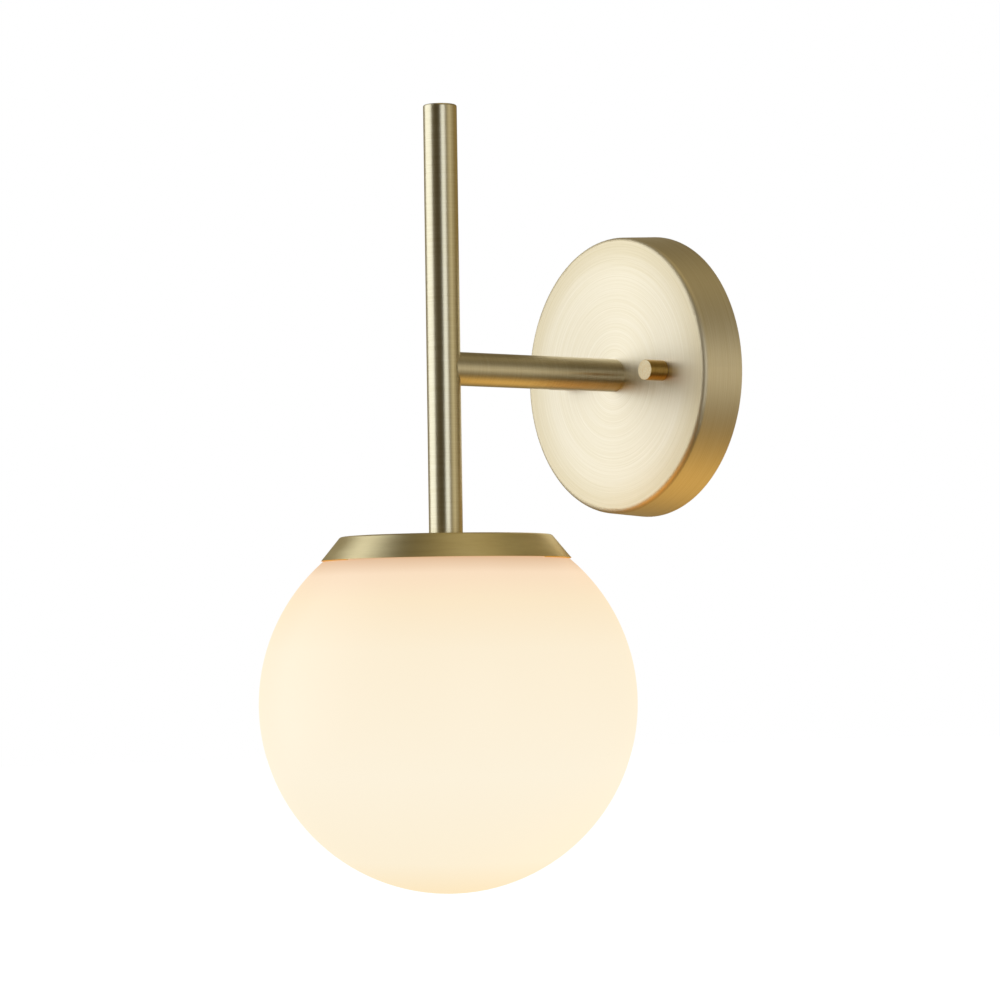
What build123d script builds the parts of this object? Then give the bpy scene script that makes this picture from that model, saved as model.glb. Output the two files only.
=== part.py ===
from build123d import *
import os
from math import atan2, cos, degrees, radians, sin, sqrt, tan

# Globe wall sconce, in millimetres. The origin is the centre of the wall canopy, on the wall.
# +Z is up, -Y points out of the wall and +X is to the right of someone who faces the wall.
# A "depth" is a distance out of the wall, so a point at depth d has y = -d.

# ---- Driving dimensions -------------------------------------------------------------------

# Wall canopy: a shallow spun drum, a little wider at the wall than at its face
canopy_back_d = 116.0
canopy_front_d = 113.5
canopy_depth = 19.0
canopy_sheet = 1.2
canopy_edge_r = 2.2

# Arm and stem, cut from one tube whose bore is tapped at the ends
tube_d = 13.5
tube_bore_d = 10.1
reach = 107.0
stem_above_arm = 105.2
stem_below_arm = 66.7
stem_edge_r = 0.8
wire_way_d = 8.0
cope_land = 2.0
plug_length = 6.0

# Hollow threaded nipples, with their nuts and washers
nipple_d = 10.0
nipple_bore_d = 6.8
nipple_grip = 8.0
nut_flats = 14.0
nut_height = 3.0
nut_bevel_angle = 30.0
lock_washer_d = 16.0
lock_washer_height = 0.8
lock_washer_teeth = 12
lock_washer_tooth_depth = 1.4
lock_washer_notch = 1.2
nipple_end_spare = 2.2

# Wall strap behind the canopy
strap_width = 18.0
strap_sheet = 1.6
strap_fold = 4.0
strap_centre_hole_d = 10.4
box_screw_d = 4.8
box_screw_spacing_min = 83.3
box_screw_spacing_max = 88.9
strap_end_margin = 3.0

# Studs that stand out of the strap, and the two thumb nuts that hold the canopy on them
stud_spacing = 60.8
stud_d = 4.0
stud_back_step = 0.2
stud_end_chamfer = 0.4
stud_nut_flats = 7.0
stud_nut_height = 3.2
knob_d = 8.4
knob_length = 9.2
knob_edge_r = 0.4
knob_bore_depth = 6.5
stud_tip_room = 0.5
canopy_stud_hole_d = 5.0

# Earth bond between the arm's nipple and the strap
earth_screw_x = 9.0
earth_screw_d = 4.0
earth_head_d = 8.0
earth_head_height = 2.6
earth_head_chamfer = 0.5
earth_slot_width = 1.0
earth_slot_depth = 1.3
earth_tag_sheet = 0.8
earth_tag_ring = 2.5
earth_tag_neck = 1.0
earth_barrel_length = 3.4
earth_barrel_wall = 0.45
earth_turn_x = 24.2

# Holder cap over the glass, and the gallery inside it
cap_top_d = 84.0
cap_rim_d = 99.4
cap_height = 9.4
cap_sheet = 1.0
cap_edge_r = 1.5
cap_overhang = 0.7
gallery_sheet = 1.2
gallery_wall = 1.0
gallery_skirt = 6.5
gallery_edge_r = 0.5
neck_inset = 3.0
gasket_height = 1.5
gasket_wall = 3.0

# Opal glass globe with a short screwed neck under the cap
globe_d = 150.0
glass_wall = 3.0
glass_neck_d = cap_top_d - 2 * neck_inset
shoulder_edge_r = 1.0
shoulder_inside_r = 1.5
lip_r = 0.8

# Lampholder
holder_d = 37.0
holder_wall = 2.0
holder_cap_height = 13.0
holder_cap_round_r = 4.0
holder_collar_height = 4.5
insulator_height = 6.0
insulator_lap = 2.6
skirt_height = 27.0
skirt_mouth_d = 35.0
moulding_edge_r = 1.0
shell_length = 22.0
shell_sheet = 0.5
shell_mouth_d = 14.0
tongue_width = 5.0
tongue_sheet = 0.5
tongue_drop = 2.1
tongue_foot = 3.2
tongue_ramp = 1.6
tongue_pad = 4.8
terminal_size = 5.0
terminal_x = 12.2
terminal_screw_d = 3.0
terminal_screw_proud = 1.15
terminal_slot_width = 0.6
terminal_slot_depth = 0.6
lead_grip = 3.0

# Bulb, a small frosted ball with a medium screw base
base_d = 26.0
base_ridge_depth = 0.8
base_ridge_pitch = 3.63
base_ridge_flank = 0.9
base_ridge_crest = 0.75
base_bore_d = 23.4
tip_contact_d = 9.0
tip_contact_end_d = 6.3
tip_contact_height = 1.3
bulb_insulator_height = 3.3
bulb_insulator_top_d = 11.0
collar_height = 20.0
collar_top_d = 29.0
ball_d = 45.0
ball_seat_d = 41.0
ball_wall = 1.4
led_board_d = 34.0
led_board_height = 1.6
led_ring_d = 22.6
led_chips = 8
led_chip = 2.8

# Leads between the lampholder and the canopy
lead_d = 2.2
lead_spacing = 3.0
lead_bend_r = 8.0
lead_turn_r = 3.2
lead_sweep_r = 6.0
lead_rise = 14.0
connector_x = 13.0
connector_z = 27.0
connector_mouth_d = 10.0
connector_tip_d = 6.4
connector_length = 17.0
connector_grip = 4.0
connector_tip_edge_r = 1.6
connector_flutes = 10
connector_flute_r = 0.8
connector_flute_depth = 0.5

# Clearances
thread_gap = 0.05
socket_gap = 0.1
seat_gap = 0.1
fit_gap = 0.15
glass_gap = 0.3

# ---- Places worked out from the sizes -----------------------------------------------------

tube_r = tube_d / 2
tube_bore_r = tube_bore_d / 2
nipple_hole_r = nipple_d / 2 + fit_gap
canopy_inside_depth = canopy_depth - canopy_sheet
arm_washer_depth = canopy_inside_depth - lock_washer_height
earth_tag_depth = arm_washer_depth - earth_tag_sheet
arm_nut_depth = earth_tag_depth - nut_height
arm_nipple_depth = arm_nut_depth - nipple_end_spare

cap_top_z = -stem_below_arm
cap_rim_z = cap_top_z - cap_height
cap_slope = atan2((cap_rim_d - cap_top_d) / 2, cap_height)
gallery_top_z = cap_top_z - cap_sheet
gallery_plate_z = gallery_top_z - gallery_sheet
holder_washer_z = gallery_plate_z - lock_washer_height
holder_nut_z = holder_washer_z - nut_height
holder_top_z = holder_nut_z - glass_gap
stem_nipple_z = holder_top_z - holder_collar_height

# The glass shoulder lies just under the cap's rim, and the ball's centre follows from it
shoulder_z = cap_rim_z - glass_gap
globe_r = globe_d / 2
shoulder_r = cap_rim_d / 2 - cap_overhang
globe_centre_z = shoulder_z - sqrt(globe_r**2 - shoulder_r**2)
neck_r = glass_neck_d / 2
gasket_top_z = gallery_plate_z - seat_gap
neck_top_z = gasket_top_z - gasket_height - seat_gap

insulator_z = holder_top_z - holder_cap_height + insulator_lap
insulator_bottom_z = insulator_z - insulator_height
skirt_top_z = holder_top_z - holder_cap_height
skirt_bottom_z = skirt_top_z - skirt_height
shell_inside_r = base_d / 2 + socket_gap
tongue_z = insulator_bottom_z - tongue_drop
tip_z = tongue_z - glass_gap
bulb_insulator_z = tip_z - tip_contact_height
base_top_z = bulb_insulator_z - bulb_insulator_height
base_bottom_z = skirt_bottom_z - glass_gap
ball_seat_r = ball_seat_d / 2
lead_exit_z = insulator_z + terminal_size / 2

lead_turn_depth = arm_nipple_depth - lead_turn_r + seat_gap
barrel_r = lead_d / 2 + thread_gap + earth_barrel_wall
arm_tag_lead_depth = arm_washer_depth - barrel_r
strap_tag_lead_depth = strap_sheet + barrel_r + seat_gap
earth_turn_r = (arm_tag_lead_depth - strap_tag_lead_depth) / 2 - seat_gap

strap_half_length = box_screw_spacing_max / 2 + box_screw_d / 2 + strap_end_margin
stud_tip_depth = canopy_depth + knob_bore_depth - stud_tip_room


# ---- Helpers ------------------------------------------------------------------------------

def outline(*points, rounds=()):
    """A closed flat outline, with some corners rounded: rounds holds (corner, radius) pairs."""
    face = make_face(Polyline(*points, close=True))
    for corner, radius in rounds:
        vertex = face.vertices().sort_by_distance((corner[0], corner[1], 0))[0]
        face = fillet(vertex, radius)
    return face


def turned(face, y=0.0):
    """A piece turned about an upright axis at y, from a (radius, height) outline."""
    return Pos(0, y, 0) * revolve(Plane.XZ * face, Axis.Z)


def spun(face, x=0.0):
    """A piece turned about an axis square to the wall, from a (radius, -depth) outline."""
    return Pos(x, 0, 0) * revolve(face, Axis.Y)


def ring(outer_r, inner_r, low, high):
    return outline((inner_r, low), (outer_r, low), (outer_r, high), (inner_r, high))


def upright_nut(flats, hole_r, height):
    """A hexagon nut that stands on z = 0."""
    nut = extrude(RegularPolygon(flats / 2, 6, major_radius=False) - Circle(hole_r), height)
    return chamfer_nut(nut, flats, height)


def chamfer_nut(nut, flats, height):
    """The turned bevel that takes the corners off both faces of a nut."""
    corner_r = flats / sqrt(3)
    face_r = flats / 2
    bevel = (corner_r - face_r) * tan(radians(nut_bevel_angle))
    blank = outline(
        (0, 0), (face_r, 0), (corner_r, bevel),
        (corner_r, height - bevel), (face_r, height), (0, height),
    )
    return nut & turned(blank)


def toothed_washer():
    """A lock washer that stands on z = 0, with notches between the teeth of its rim."""
    blank = Circle(lock_washer_d / 2) - Circle(nipple_hole_r)
    notch_r = lock_washer_d / 2 - lock_washer_tooth_depth / 2
    notch = Rectangle(lock_washer_tooth_depth, lock_washer_notch)
    blank -= PolarLocations(notch_r, lock_washer_teeth) * notch
    return extrude(blank, lock_washer_height)


def on_wall_axis(piece, depth, x=0.0, z=0.0):
    """Turns an upright piece so that its z = 0 face lies at a depth and it grows out of the wall."""
    return Pos(x, -depth, z) * Rot(90, 0, 0) * piece


def lead(points, bends):
    """An insulated lead along straight runs that are joined by tangent arcs."""
    path = FilletPolyline(*points, radius=bends)
    section = Plane(origin=path @ 0, z_dir=path % 0) * Circle(lead_d / 2)
    return sweep(section, path=path)


# ---- Wall side ----------------------------------------------------------------------------

def wall_strap():
    """Pressed steel strap with folded edges, slotted at both ends for the box screws."""
    half_width = strap_width / 2
    web = extrude(SlotOverall(2 * strap_half_length, strap_width), strap_sheet)
    fold_half = strap_half_length - half_width
    for side in (-1, 1):
        flange = Pos(0, side * (half_width - strap_sheet / 2), strap_fold / 2 + strap_sheet / 2)
        web += flange * Box(2 * fold_half, strap_sheet, strap_fold + strap_sheet)
    slot_length = (box_screw_spacing_max - box_screw_spacing_min) / 2 + box_screw_d
    slot_x = (box_screw_spacing_max + box_screw_spacing_min) / 4
    cuts = Circle(strap_centre_hole_d / 2)
    for side in (-1, 1):
        cuts += Pos(side * slot_x, 0) * SlotOverall(slot_length, box_screw_d)
        cuts += Pos(side * stud_spacing / 2, 0) * Circle(stud_d / 2 + thread_gap)
    cuts += Pos(earth_screw_x, 0) * Circle(earth_screw_d / 2 + thread_gap)
    strap = web - extrude(cuts, strap_sheet + strap_fold)
    return on_wall_axis(strap, 0)


def canopy_studs():
    stud = extrude(Circle(stud_d / 2), stud_tip_depth - stud_back_step)
    stud = chamfer(stud.edges().filter_by(GeomType.CIRCLE), stud_end_chamfer)
    return [on_wall_axis(stud, stud_back_step, side * stud_spacing / 2) for side in (-1, 1)]


def stud_nuts():
    nut = upright_nut(stud_nut_flats, stud_d / 2 + thread_gap, stud_nut_height)
    return [on_wall_axis(nut, strap_sheet, side * stud_spacing / 2) for side in (-1, 1)]


def canopy():
    """Spun drum with a rounded front edge, a centre hole for the nipple and two stud holes."""
    front_r = canopy_front_d / 2
    back_r = canopy_back_d / 2
    inside_front_r = back_r - (back_r - front_r) * canopy_inside_depth / canopy_depth - canopy_sheet
    shell = outline(
        (nipple_hole_r, -canopy_depth), (front_r, -canopy_depth), (back_r, 0),
        (back_r - canopy_sheet, 0), (inside_front_r, -canopy_inside_depth),
        (nipple_hole_r, -canopy_inside_depth),
        rounds=(
            ((front_r, -canopy_depth), canopy_edge_r),
            ((inside_front_r, -canopy_inside_depth), canopy_edge_r - canopy_sheet),
        ),
    )
    drum = spun(shell)
    stud_hole = extrude(Circle(canopy_stud_hole_d / 2), 2 * canopy_sheet)
    for side in (-1, 1):
        drum -= on_wall_axis(stud_hole, canopy_inside_depth - canopy_sheet / 2, side * stud_spacing / 2)
    return drum


def knob(side):
    """Turned thumb nut, blind inside, screwed onto one stud against the canopy's face."""
    tip = canopy_depth + knob_length
    bore_r = stud_d / 2 + thread_gap
    body = outline(
        (0, -tip), (knob_d / 2, -tip), (knob_d / 2, -canopy_depth - seat_gap),
        (bore_r, -canopy_depth - seat_gap), (bore_r, -canopy_depth - knob_bore_depth),
        (0, -canopy_depth - knob_bore_depth),
        rounds=(((knob_d / 2, -tip), knob_edge_r),),
    )
    return spun(body, side * stud_spacing / 2)


# ---- Earth bond ---------------------------------------------------------------------------

def earth_barrel_start(hole_r):
    """How far a tag's barrel starts from the centre of its hole."""
    return hole_r + earth_tag_ring + earth_tag_neck


def earth_tag(hole_r, barrel_z):
    """A crimp tag that lies on z = 0: a flat ring with a neck to a barrel along +X."""
    start = earth_barrel_start(hole_r)
    flat = Circle(hole_r + earth_tag_ring) + Pos(start / 2, 0) * Rectangle(start, 2 * barrel_r)
    plate = extrude(flat - Circle(hole_r), earth_tag_sheet)
    wall = Circle(barrel_r) - Circle(lead_d / 2 + thread_gap)
    mouth = Plane(origin=(start, 0, barrel_z), z_dir=(1, 0, 0))
    return plate + extrude(mouth * wall, earth_barrel_length)


def earth_tags():
    """One tag under the nut on the arm's nipple, facing the wall, and one on the strap."""
    arm_tag = earth_tag(nipple_hole_r, barrel_r)
    strap_tag = earth_tag(earth_screw_d / 2 + fit_gap, barrel_r + seat_gap)
    return [
        Pos(0, -arm_washer_depth, 0) * Rot(-90, 0, 0) * arm_tag,
        on_wall_axis(strap_tag, strap_sheet, earth_screw_x),
    ]


def earth_lead():
    """Short lead that turns back on itself between the two tags."""
    arm_x = earth_barrel_start(nipple_hole_r) + seat_gap
    strap_x = earth_screw_x + earth_barrel_start(earth_screw_d / 2 + fit_gap) + seat_gap
    route = [
        (arm_x, -arm_tag_lead_depth, 0),
        (earth_turn_x, -arm_tag_lead_depth, 0),
        (earth_turn_x, -strap_tag_lead_depth, 0),
        (strap_x, -strap_tag_lead_depth, 0),
    ]
    return lead(route, [earth_turn_r, earth_turn_r])


def earth_screw():
    """Slotted screw that clamps the strap's tag."""
    head_depth = strap_sheet + earth_tag_sheet
    shank = extrude(Circle(earth_screw_d / 2), head_depth - stud_back_step)
    head = extrude(Circle(earth_head_d / 2), earth_head_height)
    head = chamfer(head.edges().group_by(Axis.Z)[-1], earth_head_chamfer)
    slot = Pos(0, 0, earth_head_height) * Box(earth_head_d, earth_slot_width, 2 * earth_slot_depth)
    screw = on_wall_axis(shank, stud_back_step, earth_screw_x)
    return screw + on_wall_axis(head - slot, head_depth, earth_screw_x)


# ---- Arm and stem -------------------------------------------------------------------------

def arm_tube():
    """Tube from the canopy's face to the stem, with its end coped to saddle the stem."""
    tube = spun(ring(tube_r, tube_bore_r, -(reach - cope_land), -canopy_depth))
    return tube - Pos(0, -reach, 0) * Cylinder(tube_r, 2 * tube_d)


def stem_tube():
    """Upright tube with a softened top edge and a wire way drilled in from the arm's side."""
    wall = outline(
        (tube_bore_r, cap_top_z), (tube_r, cap_top_z),
        (tube_r, stem_above_arm), (tube_bore_r, stem_above_arm),
        rounds=(((tube_r, stem_above_arm), stem_edge_r),),
    )
    wire_way = on_wall_axis(extrude(Circle(wire_way_d / 2), tube_d), reach - tube_d)
    return turned(wall, -reach) - wire_way


def stem_top_plug():
    """Plug pressed into the stem's top, flush with the rim."""
    plug = ring(tube_bore_r - thread_gap, 0, stem_above_arm - plug_length, stem_above_arm)
    return turned(plug, -reach)


def arm_nipple():
    nipple_r = nipple_d / 2
    return spun(ring(nipple_r, nipple_bore_d / 2, -(canopy_depth + nipple_grip), -arm_nipple_depth))


def arm_lock_washer():
    return on_wall_axis(toothed_washer(), arm_washer_depth)


def arm_nut():
    return on_wall_axis(upright_nut(nut_flats, nipple_d / 2 + thread_gap, nut_height), arm_nut_depth)


def stem_nipple():
    nipple_r = nipple_d / 2
    return turned(ring(nipple_r, nipple_bore_d / 2, stem_nipple_z, cap_top_z + nipple_grip), -reach)


def holder_lock_washer():
    return Pos(0, -reach, holder_washer_z) * toothed_washer()


def holder_nut():
    nut = upright_nut(nut_flats, nipple_d / 2 + thread_gap, nut_height)
    return Pos(0, -reach, holder_nut_z) * nut


# ---- Cap, gallery and globe ---------------------------------------------------------------

def holder_cap():
    """Spun cap: a flat top that turns down into a short flared skirt over the glass."""
    top_r = cap_top_d / 2
    rim_r = cap_rim_d / 2
    wall = cap_sheet / cos(cap_slope)
    inside_top_r = top_r + (rim_r - top_r) * cap_sheet / cap_height - wall
    shell = outline(
        (nipple_hole_r, cap_top_z), (top_r, cap_top_z), (rim_r, cap_rim_z),
        (rim_r - wall, cap_rim_z), (inside_top_r, gallery_top_z), (nipple_hole_r, gallery_top_z),
        rounds=(
            ((top_r, cap_top_z), cap_edge_r),
            ((inside_top_r, gallery_top_z), cap_edge_r - cap_sheet),
        ),
    )
    return turned(shell, -reach)


def glass_gallery():
    """Pressed cup under the cap whose skirt is threaded inside for the neck of the glass."""
    inside_r = neck_r + socket_gap
    outside_r = inside_r + gallery_wall
    bottom_z = gallery_plate_z - gallery_skirt
    cup = outline(
        (nipple_hole_r, gallery_top_z), (outside_r, gallery_top_z), (outside_r, bottom_z),
        (inside_r, bottom_z), (inside_r, gallery_plate_z), (nipple_hole_r, gallery_plate_z),
        rounds=(((outside_r, gallery_top_z), gallery_edge_r),),
    )
    return turned(cup, -reach)


def glass_gasket():
    """Soft ring between the top of the glass and the gallery's plate."""
    return turned(ring(neck_r, neck_r - gasket_wall, neck_top_z + seat_gap, gasket_top_z), -reach)


def glass_globe():
    """Blown ball with a flat shoulder under the cap's rim and a short upright neck."""
    inner_r = globe_r - glass_wall
    neck_inner_r = neck_r - glass_wall
    shoulder = sqrt(globe_r**2 - shoulder_r**2)
    inside_shoulder = shoulder - glass_wall
    inside_shoulder_r = sqrt(inner_r**2 - inside_shoulder**2)
    neck = neck_top_z - globe_centre_z
    half_way = (cos(radians(45)), -sin(radians(45)))
    outer_middle = (globe_r * half_way[0], globe_r * half_way[1])
    inner_middle = (inner_r * half_way[0], inner_r * half_way[1])
    section = make_face([
        Line((0, -globe_r), (0, -inner_r)),
        ThreePointArc((0, -inner_r), inner_middle, (inside_shoulder_r, inside_shoulder)),
        Polyline(
            (inside_shoulder_r, inside_shoulder), (neck_inner_r, inside_shoulder),
            (neck_inner_r, neck), (neck_r, neck), (neck_r, shoulder), (shoulder_r, shoulder),
        ),
        ThreePointArc((shoulder_r, shoulder), outer_middle, (0, -globe_r)),
    ])
    for corner, radius in (
        ((shoulder_r, shoulder), shoulder_edge_r),
        ((inside_shoulder_r, inside_shoulder), shoulder_inside_r),
        ((neck_r, neck), lip_r),
        ((neck_inner_r, neck), lip_r),
    ):
        section = fillet(section.vertices().sort_by_distance((corner[0], corner[1], 0))[0], radius)
    return Pos(0, 0, globe_centre_z) * turned(section, -reach)


# ---- Lampholder ---------------------------------------------------------------------------

def lampholder_cap():
    """Upper half of the lampholder, with the threaded collar that screws onto the nipple."""
    outer_r = holder_d / 2
    inner_r = outer_r - holder_wall
    hole_r = nipple_d / 2 + thread_gap
    collar_r = hole_r + holder_wall
    ceiling_z = holder_top_z - holder_wall
    cap = outline(
        (hole_r, holder_top_z), (outer_r, holder_top_z), (outer_r, skirt_top_z),
        (inner_r, skirt_top_z), (inner_r, ceiling_z), (collar_r, ceiling_z),
        (collar_r, stem_nipple_z), (hole_r, stem_nipple_z),
        rounds=(
            ((outer_r, holder_top_z), holder_cap_round_r),
            ((inner_r, ceiling_z), holder_cap_round_r - holder_wall),
        ),
    )
    return turned(cap, -reach)


def lampholder_insulator():
    """Disc that carries the terminals above and the screw shell and contact below."""
    disc_r = holder_d / 2 - holder_wall - fit_gap
    return turned(ring(disc_r, 0, insulator_bottom_z, insulator_z), -reach)


def lampholder_skirt():
    """Lower half: a tapered sleeve whose ledge holds the insulator up inside the cap."""
    top_r = holder_d / 2
    mouth_r = skirt_mouth_d / 2
    pocket_r = top_r - holder_wall
    bore_r = shell_inside_r + shell_sheet + fit_gap
    sleeve = outline(
        (pocket_r, skirt_top_z), (top_r, skirt_top_z), (mouth_r, skirt_bottom_z),
        (bore_r, skirt_bottom_z), (bore_r, insulator_bottom_z), (pocket_r, insulator_bottom_z),
        rounds=(((mouth_r, skirt_bottom_z), moulding_edge_r),),
    )
    return turned(sleeve, -reach)


def screw_shell():
    """Metal shell that the bulb screws into, with a flange against the insulator."""
    outer_r = shell_inside_r + shell_sheet
    flange_z = insulator_bottom_z - shell_sheet
    bottom_z = insulator_bottom_z - shell_length
    shell = outline(
        (shell_mouth_d / 2, insulator_bottom_z), (outer_r, insulator_bottom_z),
        (outer_r, bottom_z), (shell_inside_r, bottom_z),
        (shell_inside_r, flange_z), (shell_mouth_d / 2, flange_z),
    )
    return turned(shell, -reach)


def centre_contact():
    """Sprung tongue under the insulator that presses on the bulb's tip."""
    root = sqrt((shell_mouth_d / 2) ** 2 - (tongue_width / 2) ** 2) - socket_gap
    top = insulator_bottom_z
    foot_x = tongue_foot - root
    ramp_x = foot_x + tongue_ramp
    tip_x = ramp_x + tongue_pad
    strip = outline(
        (-root, top), (-root, top - tongue_sheet), (foot_x, top - tongue_sheet),
        (ramp_x, tongue_z), (tip_x, tongue_z), (tip_x, tongue_z + tongue_sheet),
        (ramp_x + tongue_ramp, tongue_z + tongue_sheet), (ramp_x, top),
    )
    return Pos(0, -reach, 0) * extrude(Plane.XZ * strip, tongue_width / 2, both=True)


def lead_terminals():
    """Two clamp blocks on the insulator, bored for a lead and tapped for a screw."""
    blocks = []
    for side in (-1, 1):
        block = Pos(0, 0, terminal_size / 2) * Box(terminal_size, terminal_size, terminal_size)
        lead_hole = Cylinder(lead_d / 2 + thread_gap, 2 * lead_grip)
        block -= Pos(-side * terminal_size / 2, 0, terminal_size / 2) * Rot(0, 90, 0) * lead_hole
        screw_hole = Cylinder(terminal_screw_d / 2 + thread_gap, terminal_size)
        block -= Pos(0, 0, terminal_size) * screw_hole
        blocks.append(Pos(side * terminal_x, -reach, insulator_z) * block)
    return blocks


def terminal_screws():
    screw_z = lead_exit_z + lead_d / 2 + thread_gap
    length = insulator_z + terminal_size + terminal_screw_proud - screw_z
    screws = []
    for side in (-1, 1):
        screw = extrude(Circle(terminal_screw_d / 2), length)
        slot = Pos(0, 0, length) * Box(terminal_screw_d, terminal_slot_width, 2 * terminal_slot_depth)
        screws.append(Pos(side * terminal_x, -reach, screw_z) * (screw - slot))
    return screws


# ---- Bulb ---------------------------------------------------------------------------------

def bulb_contact():
    button = outline(
        (0, bulb_insulator_z), (tip_contact_d / 2, bulb_insulator_z),
        (tip_contact_end_d / 2, tip_z), (0, tip_z),
    )
    return turned(button, -reach)


def bulb_insulator():
    cone = outline(
        (0, base_top_z), (base_bore_d / 2, base_top_z),
        (bulb_insulator_top_d / 2, bulb_insulator_z), (0, bulb_insulator_z),
    )
    return turned(cone, -reach)


def bulb_screw_base():
    """Thin shell with rolled ridges that stand for the bulb's thread."""
    crest_r = base_d / 2
    root_r = crest_r - base_ridge_depth
    count = int((base_top_z - base_bottom_z) / base_ridge_pitch)
    root_land = base_ridge_pitch - base_ridge_crest - 2 * base_ridge_flank
    points = [(base_bore_d / 2, base_top_z), (root_r, base_top_z)]
    for turn in range(count):
        start = base_top_z - turn * base_ridge_pitch - root_land / 2
        crest = start - base_ridge_flank
        points.append((root_r, start))
        points.append((crest_r, crest))
        points.append((crest_r, crest - base_ridge_crest))
        points.append((root_r, crest - base_ridge_crest - base_ridge_flank))
    points.append((root_r, base_bottom_z))
    points.append((base_bore_d / 2, base_bottom_z))
    return turned(outline(*points), -reach)


def bulb_collar():
    """Moulded body between the base and the ball, with the spigot that fills the base."""
    spigot_r = base_bore_d / 2 - thread_gap
    bottom_z = base_bottom_z - collar_height
    body = outline(
        (0, base_top_z), (spigot_r, base_top_z), (spigot_r, base_bottom_z),
        (collar_top_d / 2, base_bottom_z), (ball_seat_r, bottom_z), (0, bottom_z),
        rounds=(((collar_top_d / 2, base_bottom_z), moulding_edge_r),),
    )
    return turned(body, -reach)


def bulb_ball():
    """Frosted ball shell that closes the collar."""
    seat_z = base_bottom_z - collar_height
    centre_z = seat_z - sqrt((ball_d / 2) ** 2 - ball_seat_r**2)
    inner_r = ball_d / 2 - ball_wall
    keep = Pos(0, 0, seat_z - ball_d) * Box(2 * ball_d, 2 * ball_d, 2 * ball_d)
    ball = Pos(0, 0, centre_z) * (Sphere(ball_d / 2) - Sphere(inner_r))
    return Pos(0, -reach, 0) * (ball & keep)


def led_board():
    """Round board on the collar's face, with a ring of light chips."""
    seat_z = base_bottom_z - collar_height
    board = Cylinder(led_board_d / 2, led_board_height)
    for place in PolarLocations(led_ring_d / 2, led_chips):
        board += place * Pos(0, 0, -led_board_height) * Box(led_chip, led_chip, led_board_height)
    return Pos(0, -reach, seat_z - led_board_height / 2) * board


# ---- Leads --------------------------------------------------------------------------------

def through_lead(side):
    """From a terminal up the stem, along the arm and up behind the canopy to a connector."""
    line_x = side * lead_spacing / 2
    end_x = side * connector_x
    sweep_z = connector_z - lead_sweep_r
    route = [
        (side * (terminal_x - terminal_size / 2 + lead_grip / 2), -reach, lead_exit_z),
        (line_x, -reach, lead_exit_z),
        (line_x, -reach, 0),
        (line_x, -lead_turn_depth, 0),
        (line_x, -lead_turn_depth, lead_rise),
        (end_x, -lead_turn_depth, sweep_z),
        (end_x, -lead_turn_depth, connector_z + connector_grip - seat_gap),
    ]
    return lead(route, [lead_turn_r, lead_bend_r, lead_turn_r, lead_sweep_r, lead_sweep_r])


def wire_connectors():
    """Twist-on connectors at the ends of the live and neutral leads."""
    mouth_r = connector_mouth_d / 2
    tip_r = connector_tip_d / 2
    bore_r = lead_d / 2 + thread_gap
    cone = outline(
        (0, connector_length), (tip_r, connector_length), (mouth_r, 0), (bore_r, 0),
        (bore_r, connector_grip), (0, connector_grip),
        rounds=(((tip_r, connector_length), connector_tip_edge_r),),
    )
    shape = turned(cone)
    lean = Rot(0, degrees(-atan2(mouth_r - tip_r, connector_length)), 0)
    flute_r = mouth_r + connector_flute_r - connector_flute_depth
    flute = Pos(flute_r, 0, 0) * lean * extrude(Circle(connector_flute_r), 2 * connector_length)
    for place in PolarLocations(0, connector_flutes):
        shape -= place * Pos(0, 0, connector_grip) * flute
    return [Pos(side * connector_x, -lead_turn_depth, connector_z) * shape for side in (-1, 1)]


# ---- Every piece, by name -----------------------------------------------------------------

pieces = {
    "wall_strap": wall_strap(),
    "canopy_studs": canopy_studs(),
    "stud_nuts": stud_nuts(),
    "canopy": canopy(),
    "knob_left": knob(-1),
    "knob_right": knob(1),
    "earth_tags": earth_tags(),
    "earth_lead": earth_lead(),
    "earth_screw": earth_screw(),
    "arm_tube": arm_tube(),
    "arm_nipple": arm_nipple(),
    "arm_lock_washer": arm_lock_washer(),
    "arm_nut": arm_nut(),
    "stem_tube": stem_tube(),
    "stem_top_plug": stem_top_plug(),
    "stem_nipple": stem_nipple(),
    "holder_cap": holder_cap(),
    "glass_gallery": glass_gallery(),
    "holder_lock_washer": holder_lock_washer(),
    "holder_nut": holder_nut(),
    "glass_gasket": glass_gasket(),
    "glass_globe": glass_globe(),
    "lampholder_cap": lampholder_cap(),
    "lampholder_insulator": lampholder_insulator(),
    "lampholder_skirt": lampholder_skirt(),
    "screw_shell": screw_shell(),
    "centre_contact": centre_contact(),
    "lead_terminals": lead_terminals(),
    "terminal_screws": terminal_screws(),
    "bulb_contact": bulb_contact(),
    "bulb_insulator": bulb_insulator(),
    "bulb_screw_base": bulb_screw_base(),
    "bulb_collar": bulb_collar(),
    "led_board": led_board(),
    "bulb_ball": bulb_ball(),
    "live_lead": through_lead(-1),
    "neutral_lead": through_lead(1),
    "wire_connectors": wire_connectors(),
}

os.makedirs("parts", exist_ok=True)
for name, shape in pieces.items():
    if isinstance(shape, list):
        shape = Compound(children=shape)
    export_step(shape, f"parts/{name}.step")
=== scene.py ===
from math import cos, pi, radians, sin

import bmesh
import bpy
from mathutils import Matrix, Vector


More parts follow.
